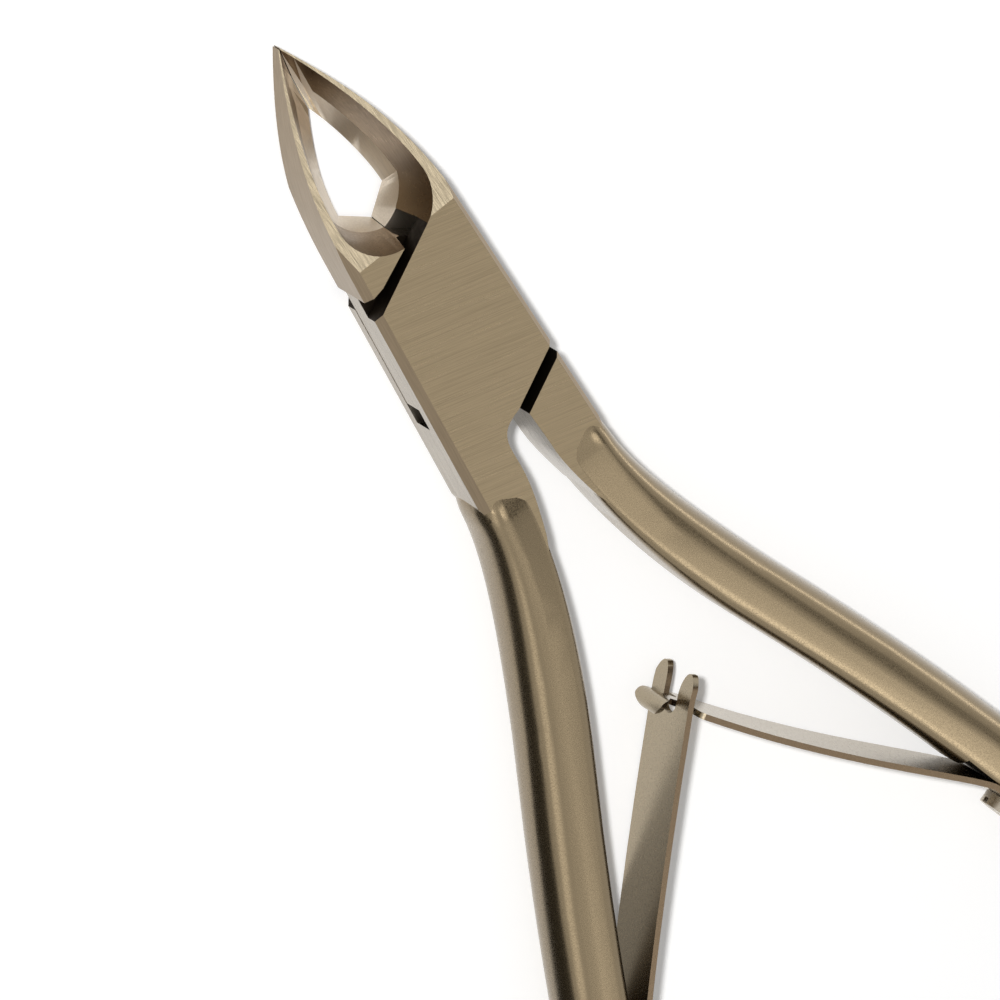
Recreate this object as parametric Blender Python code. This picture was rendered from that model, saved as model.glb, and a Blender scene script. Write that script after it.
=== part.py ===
# Cuticle nipper with a box joint: one forged lever passes through a slot in the other, a blind pin
# joins them, and two leaf springs that hook into each other push the handles apart.
# Frame: origin on the pivot axis at the joint's back face, +Y to the jaw tips, +Z out of the front face.
import math

import bmesh
import bpy
from mathutils import Matrix, Vector

MM = 0.001

# Joint box
THICKNESS = 4.8 * MM
CHEEK = 1.5 * MM
TONGUE_CLEARANCE = 0.06 * MM
HEAD_HALF_WIDTH = 4.73 * MM
HEAD_FLARE = 0.035
HEAD_END_Y = -12.0 * MM
LEFT_CHAMFER = 0.56 * MM
RIGHT_CHAMFER = 0.32 * MM
GAP_ANGLE = math.radians(30)
CHEEK_TO_TIP = 5.9 * MM
CHEEK_TO_HANDLE = 6.9 * MM
SHOULDER_GAP = 0.9 * MM
SHOULDER_END_Y = 5.75 * MM
TONGUE_ANGLE = math.radians(-37.7)
TONGUE_HALF_WIDTH = 6.0 * MM
SLOT_RELIEF = 1.36 * MM
SIDE_RECESS = 0.03 * MM

# Crotch between the handles and the flat roots that run out into them
CROTCH_X = 1.25 * MM
CROTCH_TOP_X = 0.57 * MM
CROTCH_Y = -10.0 * MM
CROTCH_ROUND = 2.0 * MM
ROOT_START_X = 1.06 * MM
ROOT_EDGE_X = 2.2 * MM
ROOT_EDGE_Y = -16.6 * MM
ROOT_END_Y = -20.0 * MM

# Jaws
TIP_Y = 23.25 * MM
TIP_HALF_WIDTH = 0.08 * MM
JAW_ROOT_Y = 8.0 * MM
JAW_SHOULDER = 3.0 * MM
JAW_GAP = 0.06 * MM
JAW_HEEL_GAP = 0.72 * MM
JAW_HEEL_X = 3.1 * MM
RIM_START_Y = 8.1 * MM
RIM_SLOPE = 0.197
BACK_START_Y = 13.0 * MM
BACK_SLOPE = 0.10
HOLLOW_RADIUS = 3.55 * MM
HOLLOW_BACK_Y = 8.05 * MM
HOLLOW_BACK_CORNER_Y = 9.68 * MM
HOLLOW_BACK_HALF_WIDTH = 1.88 * MM
BLADE_LENGTH = 5.5 * MM
BEVEL_HEIGHT_SHARE = 0.3
BEVEL_WIDTH_SHARE = 0.5

# Handles
HANDLE_SPREAD = 24.5 * MM
HANDLE_END_Y = -80.0 * MM
HANDLE_NECK_X = 3.75 * MM
HANDLE_NECK_Y = -13.9 * MM
HANDLE_NECK_HALF_WIDTH = 1.8 * MM
HANDLE_HALF_WIDTH = 2.26 * MM
HANDLE_HALF_THICKNESS = 2.74 * MM
HANDLE_OUTER_SQUARENESS = 2.4
HANDLE_INNER_SQUARENESS = 5.0
HANDLE_NECK_SQUARENESS = 16.0
HANDLE_CROWN_LEAN = 0.13
HANDLE_BEND_X = 9.18 * MM
HANDLE_BEND_Y = -32.3 * MM
HANDLE_SWELL_SHARE = 0.42
NOSE_LENGTH = 2.5 * MM

# Pivot pin
PIN_RADIUS = 1.5 * MM
PIN_CLEARANCE = 0.05 * MM
PIN_SKIN = 0.5 * MM

# Leaf springs: the left one ends in a fork, the right one in a tongue that curls behind it
LEAF_WIDTH = 5.0 * MM
LEAF_THICKNESS = 0.42 * MM
LEFT_LEAF_ANGLE = math.radians(40)
RIGHT_LEAF_ANGLE = math.radians(34)
INTERLOCK_Y = -34.4 * MM
PRONG_LENGTH = 2.4 * MM
PRONG_WIDTH = 1.6 * MM
PRONG_FLARE = 0.3 * MM
FORK_CENTRE = 0.1 * MM
HOOK_RUN = 1.15 * MM
HOOK_RADIUS = 0.5 * MM
HOOK_TURN = math.radians(150)
HOOK_HALF_WIDTH = 1.15 * MM
HOOK_CLEARANCE = 0.25 * MM
NECK_SHOULDER = 0.9 * MM
FOOT_Y = -57.0 * MM
FOOT_LENGTH = 6.0 * MM
SEAT_LENGTH = 10.0 * MM
SEAT_DEPTH = 0.5 * MM
SEAT_CLEARANCE = 0.05 * MM

# Spring screws
SCREW_RADIUS = 0.8 * MM
SCREW_CLEARANCE = 0.06 * MM
SCREW_DEPTH = 2.4 * MM
SCREW_HEAD_RADIUS = 1.55 * MM
SCREW_HEAD_HEIGHT = 0.9 * MM
SCREW_SLOT_WIDTH = 0.45 * MM
SCREW_SLOT_DEPTH = 0.45 * MM

MID_Z = THICKNESS / 2
# The hollow's round front end touches the line of the cheek's edge
HOLLOW_BOTTOM_Y = (CHEEK_TO_TIP + HOLLOW_RADIUS) / math.cos(GAP_ANGLE) - HOLLOW_RADIUS
SKIM = 0.05 * MM
FAR = 40 * MM


def clear_scene():
    for obj in list(bpy.data.objects):
        bpy.data.objects.remove(obj, do_unlink=True)


def collection(name):
    found = bpy.data.collections.new(name)
    bpy.context.scene.collection.children.link(found)
    return found


def steel(name, colour, roughness):
    material = bpy.data.materials.new(name)
    material.use_nodes = True
    shader = material.node_tree.nodes["Principled BSDF"]
    shader.inputs["Base Color"].default_value = (*colour, 1)
    shader.inputs["Metallic"].default_value = 1
    shader.inputs["Roughness"].default_value = roughness
    return material


def place(name, mesh, group, cutter=False):
    obj = bpy.data.objects.new(name, mesh)
    group.objects.link(obj)
    if cutter:
        obj.hide_render = True
        obj.display_type = "WIRE"
    return obj


def boolean(target, mesh, cutters, operation):
    """Joins a mesh to the target, cuts it out, or keeps what lies inside it."""
    other = place(mesh.name, mesh, cutters, True)
    modifier = target.modifiers.new(operation.lower() + " " + other.name, "BOOLEAN")
    modifier.operation = operation
    modifier.object = other
    modifier.solver = "EXACT"


def smooth(obj, material):
    obj.data.materials.append(material)
    obj.data.shade_smooth()
    obj.data.set_sharp_from_angle(angle=math.radians(30))


def bezier(points, steps):
    """Points along one cubic Bezier curve, both ends included."""
    a, b, c, d = (Vector(p) for p in points)
    found = []
    for i in range(steps + 1):
        t = i / steps
        s = 1 - t
        found.append(a * s**3 + b * 3 * s * s * t + c * 3 * s * t * t + d * t**3)
    return found


def arc(centre, radius, start, end, steps):
    turn = [start + (end - start) * i / steps for i in range(steps + 1)]
    return [Vector((centre[0] + radius * math.cos(a), centre[1] + radius * math.sin(a))) for a in turn]


def outline_mesh(name, outline, low, high):
    """A flat outline extruded between two heights, as a closed mesh."""
    curve = bpy.data.curves.new(name, "CURVE")
    curve.dimensions = "2D"
    curve.fill_mode = "BOTH"
    curve.extrude = (high - low) / 2
    spline = curve.splines.new("POLY")
    spline.points.add(len(outline) - 1)
    for point, corner in zip(spline.points, outline):
        point.co = (corner[0], corner[1], 0, 1)
    spline.use_cyclic_u = True
    holder = bpy.data.objects.new(name, curve)
    bpy.context.scene.collection.objects.link(holder)
    bpy.context.view_layer.update()
    graph = bpy.context.evaluated_depsgraph_get()
    mesh = bpy.data.meshes.new_from_object(holder.evaluated_get(graph))
    bpy.data.objects.remove(holder, do_unlink=True)
    bpy.data.curves.remove(curve)
    mesh.name = name
    made = bmesh.new()
    made.from_mesh(mesh)
    bmesh.ops.remove_doubles(made, verts=made.verts, dist=0.001 * MM)
    bmesh.ops.translate(made, verts=made.verts, vec=(0, 0, (low + high) / 2))
    bmesh.ops.recalc_face_normals(made, faces=made.faces)
    made.to_mesh(mesh)
    made.free()
    return mesh


def box_mesh(name, size, matrix):
    made = bmesh.new()
    bmesh.ops.create_cube(made, size=1, matrix=matrix @ Matrix.Diagonal((*size, 1)))
    mesh = bpy.data.meshes.new(name)
    made.to_mesh(mesh)
    made.free()
    return mesh


def rod_mesh(name, radius, length, matrix, sides=48):
    """A round rod whose bottom stands on the matrix's origin and whose axis is its Z."""
    made = bmesh.new()
    placed = matrix @ Matrix.Translation((0, 0, length / 2))
    bmesh.ops.create_cone(
        made, cap_ends=True, segments=sides, radius1=radius, radius2=radius, depth=length, matrix=placed
    )
    mesh = bpy.data.meshes.new(name)
    made.to_mesh(mesh)
    made.free()
    return mesh


def loft_mesh(name, rings):
    """A closed skin over rings that hold the same number of points."""
    made = bmesh.new()
    rows = [[made.verts.new(point) for point in ring] for ring in rings]
    count = len(rows[0])
    for row, following in zip(rows, rows[1:]):
        for i in range(count):
            j = (i + 1) % count
            made.faces.new((row[i], row[j], following[j], following[i]))
    made.faces.new(list(reversed(rows[0])))
    made.faces.new(rows[-1])
    bmesh.ops.recalc_face_normals(made, faces=made.faces)
    mesh = bpy.data.meshes.new(name)
    made.to_mesh(mesh)
    made.free()
    return mesh


def mirrored(points):
    """The same outline on the other side of the tool's long axis."""
    return [Vector((-p[0], p[1])) for p in reversed(points)]


def side_x(y):
    """Half width of the head, which widens a little towards the handles."""
    return HEAD_HALF_WIDTH - HEAD_FLARE * y


def on_gap_line(distance, x):
    """The point at this x on a line across the joint, this far from the pivot towards the tip."""
    return Vector((x, (distance + math.sin(GAP_ANGLE) * x) / math.cos(GAP_ANGLE)))


def gap_at_side(distance, side):
    """Where such a line meets the head's left (-1) or right (1) side."""
    lean = math.sin(GAP_ANGLE)
    y = (distance + lean * HEAD_HALF_WIDTH * side) / (math.cos(GAP_ANGLE) + lean * HEAD_FLARE * side)
    return Vector((side * side_x(y), y))


def jaw_outer_edge():
    """The right jaw's outer edge, from the head's side to the tip."""
    start = Vector((side_x(JAW_ROOT_Y), JAW_ROOT_Y))
    tip = Vector((TIP_HALF_WIDTH, TIP_Y))
    reach = TIP_Y - JAW_ROOT_Y
    first = start + Vector((-0.2 * MM, 0.36 * reach))
    second = Vector((JAW_SHOULDER, JAW_ROOT_Y + 0.63 * reach))
    return bezier((start, first, second, tip), 18)


def handle_root_outline():
    """The right handle's flat root: down its inner edge, out into the handle, and up to the head's side."""
    top = Vector((CROTCH_X, CROTCH_Y - 1 * MM))
    edge_end = Vector((ROOT_EDGE_X, ROOT_EDGE_Y))
    fall = Vector((0, (top.y - ROOT_EDGE_Y) / 3))
    lean = Vector((0.25 * fall.y, 0))
    edge = bezier((top, top - fall, edge_end + fall - lean, edge_end), 6)
    hidden_end = Vector((handle_centre_x(ROOT_END_Y) - HANDLE_NECK_HALF_WIDTH * 0.7, ROOT_END_Y))
    hidden_edge = Vector((handle_centre_x(ROOT_EDGE_Y), ROOT_EDGE_Y))
    return edge + [hidden_end, hidden_edge, Vector((side_x(HEAD_END_Y), HEAD_END_Y))]


def outer_lever_outline():
    """Right jaw, both cheeks of the box and the left handle's root."""
    inner = JAW_GAP / 2
    crotch_top = on_gap_line(-CHEEK_TO_HANDLE, CROTCH_TOP_X)
    crotch_end = Vector((-CROTCH_X, CROTCH_Y))
    first = crotch_end + Vector((0, 0.7 * CROTCH_ROUND))
    second = crotch_end + Vector((0.18 * CROTCH_ROUND, CROTCH_ROUND))
    crotch = bezier((crotch_end, first, second, crotch_top), 8)
    return (
        [Vector((inner, TIP_Y)), on_gap_line(CHEEK_TO_TIP, inner), gap_at_side(CHEEK_TO_TIP, -1)]
        + mirrored(handle_root_outline())
        + crotch
        + [gap_at_side(-CHEEK_TO_HANDLE, 1)]
        + jaw_outer_edge()
    )


def inner_jaw_outline():
    """Left jaw down to its shoulder against the box."""
    inner = -JAW_GAP / 2
    shoulder_end = Vector((-side_x(SHOULDER_END_Y), SHOULDER_END_Y))
    shoulder = on_gap_line(CHEEK_TO_TIP + SHOULDER_GAP, -JAW_HEEL_X)
    heel = on_gap_line(CHEEK_TO_TIP + JAW_HEEL_GAP, inner)
    return mirrored(jaw_outer_edge()) + [shoulder_end, shoulder, heel, Vector((inner, TIP_Y))]


def inner_handle_outline():
    """Right handle's root up to its shoulder under the box."""
    shoulder = -CHEEK_TO_HANDLE - SHOULDER_GAP
    return [gap_at_side(shoulder, 1), on_gap_line(shoulder, ROOT_START_X)] + handle_root_outline()


def tongue_outline():
    """The inner lever's neck, which crosses the box from the left jaw to the right handle."""
    across = Vector((-math.sin(TONGUE_ANGLE), math.cos(TONGUE_ANGLE)))

    def on_edge(side, x):
        return Vector((x, (side * TONGUE_HALF_WIDTH - across.x * x) / across.y))

    def at_side(side):
        reach = TONGUE_HALF_WIDTH - across.x * (HEAD_HALF_WIDTH - SIDE_RECESS)
        y = side * reach / (across.y - across.x * side * HEAD_FLARE)
        return Vector((side * (side_x(y) - SIDE_RECESS), y))

    # the neck reaches this far into the jaw and into the root, where it is hidden
    buried = 1.25 * MM
    in_jaw = SHOULDER_END_Y + buried
    in_root = gap_at_side(-CHEEK_TO_HANDLE - SHOULDER_GAP, 1).y - 2 * buried
    return [
        Vector((-side_x(in_jaw) + SIDE_RECESS, in_jaw)),
        at_side(-1),
        on_edge(-1, CROTCH_X),
        Vector((CROTCH_X + buried, in_root - buried)),
        Vector((side_x(in_root) - SIDE_RECESS, in_root)),
        at_side(1),
        on_edge(1, -JAW_GAP / 2 - buried / 2),
    ]


def handle_path(steps):
    """The right handle's centre line in plan, from its neck to its end."""
    neck = (HANDLE_NECK_X, HANDLE_NECK_Y)
    bend = (HANDLE_BEND_X, HANDLE_BEND_Y)
    end = (HANDLE_SPREAD, HANDLE_END_Y)
    fall = HANDLE_NECK_Y - HANDLE_BEND_Y
    first = (HANDLE_NECK_X + 0.25 * MM, HANDLE_NECK_Y - 0.255 * fall)
    second = (HANDLE_BEND_X - 2.75 * MM, HANDLE_BEND_Y + 0.342 * fall)
    upper = bezier((neck, first, second, bend), steps)
    fall = HANDLE_BEND_Y - HANDLE_END_Y
    first = (HANDLE_BEND_X + 5.5 * MM, HANDLE_BEND_Y - 0.266 * fall)
    second = (HANDLE_SPREAD - 3.3 * MM, HANDLE_END_Y + 0.377 * fall)
    lower = bezier((bend, first, second, end), steps)
    return upper + lower[1:]


def handle_centre_x(y):
    return min(handle_path(60), key=lambda p: abs(p.y - y)).x


def handle_half_width(share):
    """Half width of the handle by the share of its length: narrow at the neck, full past a third."""
    swell = min(1, share / HANDLE_SWELL_SHARE)
    swell = swell * swell * (3 - 2 * swell)
    return HANDLE_NECK_HALF_WIDTH + (HANDLE_HALF_WIDTH - HANDLE_NECK_HALF_WIDTH) * swell


def section(centre, along, half_width, half_thickness, squareness=HANDLE_INNER_SQUARENESS, sides=44):
    """One cross section, square to the path: well rounded and thicker outside, nearly square inside."""
    inward = Vector((along.y, -along.x))
    ring = []
    for i in range(sides):
        a = 2 * math.pi * i / sides
        power = 2 / (squareness if math.cos(a) > 0 else HANDLE_OUTER_SQUARENESS)
        x = math.copysign(abs(math.cos(a)) ** power, math.cos(a))
        z = math.copysign(abs(math.sin(a)) ** power, math.sin(a)) * (1 - HANDLE_CROWN_LEAN * x)
        ring.append(Vector((*(centre + inward * half_width * x), MID_Z + half_thickness * z)))
    return ring


def handle_mesh(name, mirror):
    """A handle lofted along its path, with a blunt nose proud of the head and a rounded end."""
    path = handle_path(18)
    count = len(path) - 1
    start = (path[1] - path[0]).normalized()
    rings = []
    for turn in (15, 30, 45, 62, 78):
        a = math.radians(turn)
        size = math.sin(a) ** 0.4
        centre = path[0] - start * NOSE_LENGTH * math.cos(a)
        width = HANDLE_NECK_HALF_WIDTH * size
        rings.append(section(centre, start, width, HANDLE_HALF_THICKNESS * size, HANDLE_NECK_SQUARENESS))
    for i, centre in enumerate(path):
        along = (path[min(i + 1, count)] - path[max(i - 1, 0)]).normalized()
        fade = max(0, 1 - i / count / HANDLE_SWELL_SHARE) ** 2
        squareness = HANDLE_INNER_SQUARENESS + (HANDLE_NECK_SQUARENESS - HANDLE_INNER_SQUARENESS) * fade
        rings.append(section(centre, along, handle_half_width(i / count), HANDLE_HALF_THICKNESS, squareness))
    along = (path[-1] - path[-2]).normalized()
    for turn in (20, 40, 58, 72, 82):
        a = math.radians(turn)
        size = math.cos(a)
        centre = path[-1] + along * HANDLE_HALF_WIDTH * math.sin(a)
        rings.append(section(centre, along, HANDLE_HALF_WIDTH * size, HANDLE_HALF_THICKNESS * size))
    if mirror:
        rings = [[Vector((-p.x, p.y, p.z)) for p in ring] for ring in rings]
    return loft_mesh(name, rings)


def hollow_ring(bottom, apex):
    """One almond-shaped outline of the hollow: this bottom, right half, drawn out to a point."""
    corner = bottom[-1]
    reach = apex - corner.y
    first = (corner.x * 0.97, corner.y + 0.28 * reach)
    second = (corner.x * 0.56, corner.y + 0.66 * reach)
    right = bottom + bezier((corner, first, second, (0, apex)), 12)[1:]
    return right + mirrored(right)[1:-1]


def rim_z(y):
    return THICKNESS - RIM_SLOPE * (y - RIM_START_Y)


def back_z(y):
    return max(0, BACK_SLOPE * (y - BACK_START_Y))


def hollow_mesh(name):
    """The scooped hollow: a ground bevel up from the blades, then a steeper wall to the rim."""
    round_end = arc((0, HOLLOW_BOTTOM_Y + HOLLOW_RADIUS), HOLLOW_RADIUS, -math.pi / 2, 0, 12)
    point = Vector((0, HOLLOW_BACK_Y))
    corner = Vector((HOLLOW_BACK_HALF_WIDTH, HOLLOW_BACK_CORNER_Y))
    straight_end = [point.lerp(corner, i / 12) for i in range(13)]
    front = hollow_ring(round_end, TIP_Y)
    back = hollow_ring(straight_end, TIP_Y - BLADE_LENGTH)
    rings = [[Vector((p.x, p.y, -1 * MM)) for p in back]]
    for height, width in ((0, 0), (BEVEL_HEIGHT_SHARE, BEVEL_WIDTH_SHARE), (1, 1)):
        ring = []
        for b, f in zip(back, front):
            low = back_z(b.y)
            ring.append(Vector((*(b + (f - b) * width), low + (rim_z(f.y) - low) * height)))
        rings.append(ring)
    rings.append([Vector((p.x, p.y, THICKNESS + 2 * MM)) for p in front])
    return loft_mesh(name, rings)


def plane_cutter(name, point, slope, front):
    """A block above (or below) a plane that rises or falls along Y through this point."""
    tilt = Matrix.Rotation(math.atan(slope), 4, "X")
    lift = FAR / 2 if front else -FAR / 2
    matrix = Matrix.Translation(point) @ tilt @ Matrix.Translation((0, FAR / 2 - 1 * MM, lift))
    return box_mesh(name, (FAR, FAR, FAR), matrix)


def chamfer_cutter(name, side, front):
    """A block along one of the head's long edges that takes a 45 degree strip off it."""
    chamfer = LEFT_CHAMFER if side < 0 else RIGHT_CHAMFER
    width = 3 * MM
    length = TIP_Y - HEAD_END_Y + 2 * MM
    away = (width / 2 - chamfer / math.sqrt(2)) / math.sqrt(2)
    middle = Vector((side * away, HEAD_END_Y + length / 2 - 1 * MM, away if front else -away))
    matrix = (
        Matrix.Translation((side * HEAD_HALF_WIDTH, 0, THICKNESS if front else 0))
        @ Matrix.Rotation(math.atan(HEAD_FLARE) * side, 4, "Z")
        @ Matrix.Translation(middle)
        @ Matrix.Rotation(math.radians(45), 4, "Y")
    )
    return box_mesh(name, (width, length, width), matrix)


def slot_mesh(name):
    """The slot through the box that the other lever's tongue turns in."""
    matrix = Matrix.Translation((0, 0, MID_Z)) @ Matrix.Rotation(TONGUE_ANGLE, 4, "Z")
    width = 2 * (TONGUE_HALF_WIDTH + SLOT_RELIEF)
    return box_mesh(name, (FAR, width, THICKNESS - 2 * CHEEK), matrix)


def cheek_edge_mesh(name):
    """A block that cuts the front cheek straight along the joint's line, to where the hollow touches it."""
    touch = on_gap_line(CHEEK_TO_TIP, HOLLOW_RADIUS * math.sin(GAP_ANGLE))
    length = 3 * MM
    height = CHEEK + 1 * MM
    matrix = (
        Matrix.Translation((*touch, THICKNESS - CHEEK + height / 2 - SKIM))
        @ Matrix.Rotation(GAP_ANGLE, 4, "Z")
        @ Matrix.Translation((-length / 2, length / 2, 0))
    )
    return box_mesh(name, (length, length, height), matrix)


def seat():
    """Point, direction and inward normal, in plan, of the flat on the right handle for a spring's foot."""
    path = handle_path(200)
    i = min(range(len(path)), key=lambda n: abs(path[n].y - FOOT_Y))
    along = (path[i + 1] - path[i - 1]).normalized()
    inward = Vector((along.y, -along.x))
    point = path[i] + inward * (handle_half_width(i / (len(path) - 1)) - SEAT_DEPTH)
    return point, along, inward


def seat_mesh(name, mirror):
    point, along, inward = seat()
    depth = 4 * MM
    centre = point + inward * depth / 2 - along * (SEAT_LENGTH - FOOT_LENGTH) / 3
    matrix = Matrix.Translation((*centre, MID_Z)) @ Matrix.Rotation(math.atan2(along.y, along.x), 4, "Z")
    mesh = box_mesh(name, (SEAT_LENGTH, depth, 2 * THICKNESS), matrix)
    if mirror:
        mesh.transform(Matrix.Diagonal((-1, 1, 1, 1)))
        mesh.flip_normals()
    return mesh


def screw_matrix(mirror, height):
    """A frame whose Z runs along a spring screw, out of the handle, this high above the seat."""
    point, _, inward = seat()
    if mirror:
        point = Vector((-point.x, point.y))
        inward = Vector((-inward.x, inward.y))
    turn = Vector((*inward, 0)).to_track_quat("Z", "Y").to_matrix().to_4x4()
    return Matrix.Translation((*(point + inward * height), MID_Z)) @ turn


def screw_hole_mesh(name, mirror):
    length = SCREW_DEPTH + SEAT_CLEARANCE + LEAF_THICKNESS + 3 * MM
    start = screw_matrix(mirror, -SCREW_DEPTH - SCREW_CLEARANCE)
    return rod_mesh(name, SCREW_RADIUS + SCREW_CLEARANCE, length, start, 24)


def rise(angle):
    """The way a right leaf runs at the crossing, seen in plan."""
    return Vector((-math.sin(angle), math.cos(angle)))


def leaf_strip(path):
    """The plan outline of a strip of the leaf's thickness along a path."""
    left, right = [], []
    for i, p in enumerate(path):
        run = (path[min(i + 1, len(path) - 1)] - path[max(i - 1, 0)]).normalized()
        normal = Vector((-run.y, run.x)) * LEAF_THICKNESS / 2
        left.append(p + normal)
        right.append(p - normal)
    return left + list(reversed(right))


def leaf_path(angle):
    """A right leaf in plan: its foot along the seat, a tight bend, and a slight bow to the crossing."""
    point, along, inward = seat()
    foot = point + inward * (SEAT_CLEARANCE + LEAF_THICKNESS / 2)
    foot_top = foot - along * FOOT_LENGTH / 2
    crossing = Vector((0, INTERLOCK_Y))
    straight = crossing - rise(angle) * 3 * MM
    reach = (straight - foot_top).length
    bend = foot_top - along * 0.06 * reach
    bow = bezier((foot_top, bend, straight - rise(angle) * 0.5 * reach, straight), 16)
    return [foot + along * FOOT_LENGTH / 2] + bow + [crossing]


def prong_path(angle):
    """The fork's prongs lean a little away from the leaf's own plane."""
    crossing = Vector((0, INTERLOCK_Y))
    ahead = rise(angle)
    aside = Vector((-ahead.y, ahead.x)) * PRONG_FLARE
    ends = [crossing + ahead * PRONG_LENGTH * t + aside * t**2 for t in (0.35, 0.6, 0.8, 1)]
    return leaf_path(angle) + ends


def hook_path(angle):
    """The tongue runs on past the crossing and curls back towards its own handle's far side."""
    ahead = rise(angle)
    start = Vector((0, INTERLOCK_Y)) + ahead * HOOK_RUN
    aside = Vector((-ahead.y, ahead.x))
    centre = start + aside * HOOK_RADIUS
    heading = math.atan2(-aside.y, -aside.x)
    return leaf_path(angle) + arc(centre, HOOK_RADIUS, heading, heading + HOOK_TURN, 10)


def across_leaf(mesh, angle, mirror):
    """Turns an outline drawn along the leaf and across its width into a block through the leaf."""
    ahead = rise(angle)
    matrix = Matrix(
        (
            (ahead.x, 0, ahead.y, 0),
            (ahead.y, 0, -ahead.x, INTERLOCK_Y),
            (0, 1, 0, MID_Z),
            (0, 0, 0, 1),
        )
    )
    mesh.transform(matrix)
    if mirror:
        mesh.transform(Matrix.Diagonal((-1, 1, 1, 1)))
        mesh.flip_normals()
    return mesh


def both_edges(upper):
    """Closes an outline that is drawn for the leaf's upper edge only."""
    return upper + [Vector((p[0], -p[1])) for p in reversed(upper)]


def fork_outline():
    """What is left of the left leaf's end: two petal-shaped prongs beside a round-bottomed slot."""
    half = LEAF_WIDTH / 2
    slot = half - PRONG_WIDTH
    wide = half + 1 * MM
    tip = Vector((PRONG_LENGTH, slot + PRONG_WIDTH / 2))
    round_off = Vector((0, PRONG_WIDTH * 0.35))
    root = Vector((PRONG_LENGTH * 0.15, half + 6 * SKIM))
    outer = bezier((root, root + Vector((PRONG_LENGTH * 0.42, -4 * SKIM)), tip + round_off, tip), 8)
    inner_root = Vector((PRONG_LENGTH * 0.3, slot))
    inner = bezier((tip, tip - round_off, inner_root + Vector((PRONG_LENGTH * 0.27, 0)), inner_root), 8)
    bottom = arc((FORK_CENTRE, 0), slot, math.pi / 2, math.pi * 0.97, 6)
    return both_edges([Vector((-FAR, wide)), Vector((0, wide))] + outer + inner[1:] + bottom)


def hook_outline():
    """What is left of the right leaf's end: shoulders, a neck that fits the slot, and a wider curled end."""
    half = LEAF_WIDTH / 2
    neck = half - PRONG_WIDTH - HOOK_CLEARANCE
    wide = half + 1 * MM
    root = Vector((-2 * NECK_SHOULDER, half + 4 * SKIM))
    corner = Vector((-NECK_SHOULDER, half - NECK_SHOULDER))
    outer = bezier((root, root + Vector((NECK_SHOULDER, -4 * SKIM)), (corner.x, half - 8 * SKIM), corner), 6)
    neck_root = Vector((-NECK_SHOULDER / 2, neck))
    fillet = bezier((corner, (corner.x, neck + 2 * SKIM), (corner.x * 0.8, neck), neck_root), 6)
    neck_end = Vector((HOOK_RUN / 2, neck))
    full = Vector((HOOK_RUN, HOOK_HALF_WIDTH))
    lead = Vector((HOOK_RUN / 4, 0))
    flare = bezier((neck_end, neck_end + lead, full - lead, full), 4)
    far_end = [Vector((FAR / 4, HOOK_HALF_WIDTH))]
    start = [Vector((-FAR, wide)), Vector((root.x - 1 * MM, wide))]
    return both_edges(start + outer + fillet[1:] + flare + far_end)


def hook_tip_mesh(name, angle, upper):
    """A block that rounds one corner off the curled end, drawn across the tongue."""
    reach = 2 * HOOK_RADIUS
    end = Vector((reach + LEAF_THICKNESS, SKIM))
    start = Vector((2 * SKIM, HOOK_HALF_WIDTH + SKIM))
    curve = bezier((start, (0.6 * reach, start.y), (reach, 0.7 * start.y), end), 8)
    far = reach + 1 * MM
    outline = curve + [Vector((far, SKIM)), Vector((far, 2 * start.y)), Vector((start.x, 2 * start.y))]
    sign = 1 if upper else -1
    mesh = outline_mesh(name, [Vector((p[0], sign * p[1])) for p in outline], HOOK_RUN * 0.6, HOOK_RUN * 4)
    ahead = rise(angle)
    matrix = Matrix(
        (
            (-ahead.y, 0, ahead.x, 0),
            (ahead.x, 0, ahead.y, INTERLOCK_Y),
            (0, 1, 0, MID_Z),
            (0, 0, 0, 1),
        )
    )
    mesh.transform(matrix)
    return mesh


def build_lever(name, slabs, mirror, cutters, parts, material):
    """Joins a lever's flat slabs to its handle and cuts the jaw. The first slab becomes the part."""
    lever = place(name, slabs[0], parts)
    for slab in slabs[1:]:
        boolean(lever, slab, cutters, "UNION")
    for side in (-1, 1):
        for front in (True, False):
            label = f"{name} chamfer {'left' if side < 0 else 'right'} {'front' if front else 'back'}"
            boolean(lever, chamfer_cutter(label, side, front), cutters, "DIFFERENCE")
    boolean(lever, handle_mesh(name + " handle", mirror), cutters, "UNION")
    rim = plane_cutter(name + " rim", (0, RIM_START_Y, THICKNESS), -RIM_SLOPE, True)
    back = plane_cutter(name + " back", (0, BACK_START_Y, 0), BACK_SLOPE, False)
    hole = screw_hole_mesh(name + " screw hole", mirror)
    for mesh in (rim, back, hollow_mesh(name + " hollow"), seat_mesh(name + " seat", mirror), hole):
        boolean(lever, mesh, cutters, "DIFFERENCE")
    smooth(lever, material)
    return lever


def build_outer_lever(cutters, parts, material):
    slab = outline_mesh("outer_lever", outer_lever_outline(), 0, THICKNESS)
    lever = build_lever("outer_lever", [slab], True, cutters, parts, material)
    boolean(lever, cheek_edge_mesh("cheek edge"), cutters, "DIFFERENCE")
    boolean(lever, slot_mesh("slot"), cutters, "DIFFERENCE")
    below = 1 * MM
    depth = THICKNESS - PIN_SKIN + below
    hole = rod_mesh("outer pin hole", PIN_RADIUS + PIN_CLEARANCE, depth, Matrix.Translation((0, 0, -below)))
    boolean(lever, hole, cutters, "DIFFERENCE")


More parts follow.
